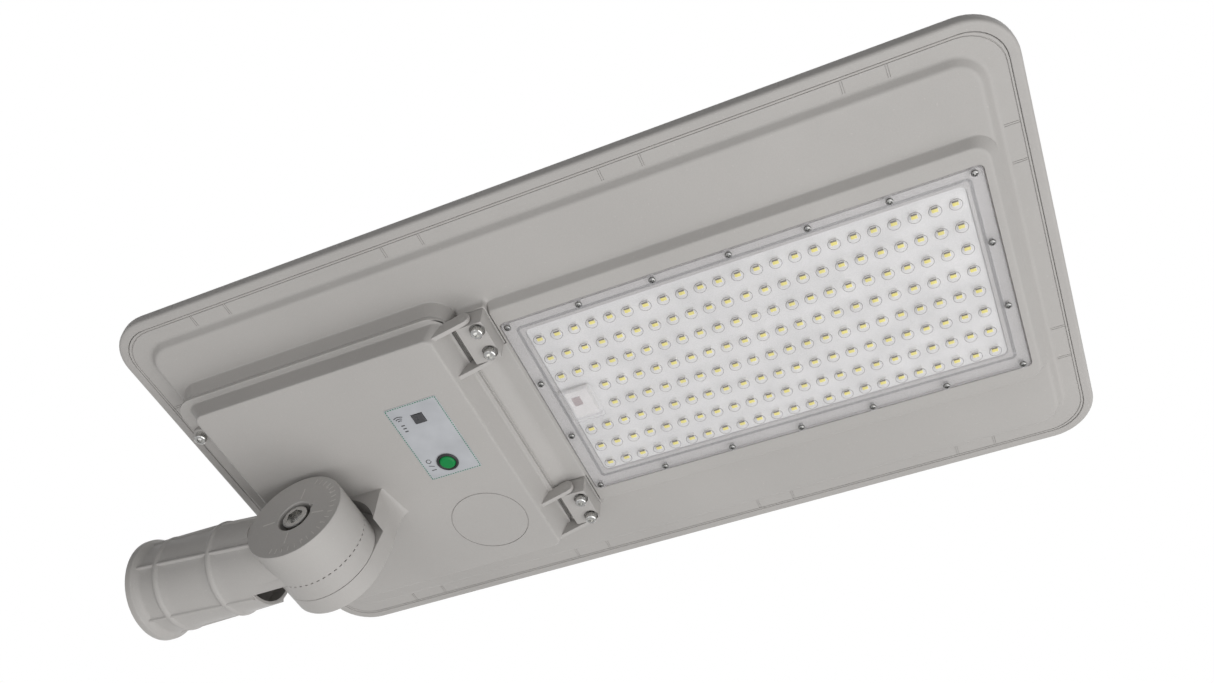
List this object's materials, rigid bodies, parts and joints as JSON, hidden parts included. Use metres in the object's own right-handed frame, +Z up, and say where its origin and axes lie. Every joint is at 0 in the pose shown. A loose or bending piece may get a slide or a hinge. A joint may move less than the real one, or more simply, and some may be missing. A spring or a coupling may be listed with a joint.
{
  "type": "solar street lamp",
  "caption": "Flat all-in-one solar street lamp: panel on top, LED lens plate below, hinged battery cover and a tilting knuckle on a pole sleeve.",
  "frame": {"origin": "centre of the pole sleeve's mouth, on the sleeve's axis", "axes": "+X along the sleeve and the lamp, away from the pole; +Z up, towards the solar panel; +Y across the lamp"},
  "size_m": [0.838, 0.426, 0.158],
  "materials": {
    "cast_paint": "satin warm light-grey powder coat on die-cast aluminium",
    "frame_paint": "satin light-grey powder coat",
    "sleeve_paint": "satin grey powder coat, slightly darker",
    "steel": "bright plated steel fasteners",
    "rubber": "matt black rubber",
    "solar_cell": "dark blue-black monocrystalline cells with silver lines",
    "solar_glass": "tempered low-iron glass",
    "clear_lens": "clear polycarbonate with moulded lens domes",
    "led_board": "white solder mask with yellow LED chips",
    "white_plastic": "white nylon connector",
    "battery_wrap": "blue shrink wrap",
    "strap_metal": "bare aluminium strip",
    "dark_plastic": "black moulded plastic",
    "label_film": "light grey printed film with a green dashed border",
    "green_plastic": "satin green moulded button"
  },
  "bodies": {
    "pole_arm": {"pole_sleeve": "sleeve_paint", "pole_set_screw_1": "steel", "pole_set_screw_2": "steel", "tilt_bolt": "steel", "tilt_bolt_washer": "steel"},
    "mount_cover": {"mount_cover": "cast_paint", "tilt_index_ring": "sleeve_paint", "tilt_nut": "steel", "cover_gasket": "rubber", "control_label": "label_film", "receiver_window": "dark_plastic", "switch_body": "dark_plastic", "hinge_pin_1": "steel", "hinge_pin_2": "steel", "cover_screw_1": "steel", "cover_screw_2": "steel"},
    "power_button": {"power_button": "green_plastic"},
    "lamp_body": {"back_housing": "cast_paint", "panel_frame": "frame_paint", "solar_cells": "solar_cell", "solar_glass": "solar_glass", "hinge_block_1": "cast_paint", "hinge_block_2": "cast_paint", "hinge_block_screw_1": "steel", "hinge_block_screw_2": "steel", "hinge_block_screw_3": "steel", "hinge_block_screw_4": "steel", "lens_plate": "clear_lens", "lens_gasket": "rubber", "led_board": "led_board", "cable_connector": "white_plastic", "lens_screw_01": "steel", "lens_screw_02": "steel", "lens_screw_03": "steel", "lens_screw_04": "steel", "lens_screw_05": "steel", "lens_screw_06": "steel", "lens_screw_07": "steel", "lens_screw_08": "steel", "lens_screw_09": "steel", "lens_screw_10": "steel", "lens_screw_11": "steel", "lens_screw_12": "steel", "lens_screw_13": "steel", "lens_screw_14": "steel", "lens_screw_15": "steel", "lens_screw_16": "steel", "lens_screw_17": "steel", "lens_screw_18": "steel", "battery_pack": "battery_wrap", "battery_strap": "strap_metal", "charge_controller": "dark_plastic", "wiring_lead": "rubber"}
  },
  "joints": [
    {"name": "tilt", "type": "hinge", "parent": "pole_arm", "child": "mount_cover", "pos_m": [0.169, 0, 0], "axis": [0, 1, 0], "range_deg": [-5, 90]},
    {"name": "service_hinge", "type": "hinge", "parent": "mount_cover", "child": "lamp_body", "pos_m": [0.368, 0, 0.072], "axis": [0, 1, 0], "range_deg": [0, 75]},
    {"name": "button_press", "type": "slide", "parent": "mount_cover", "child": "power_button", "axis": [0, 0, 1], "range_m": [0, 0.0015], "stiffness_N_per_m": 1000}
  ]
}
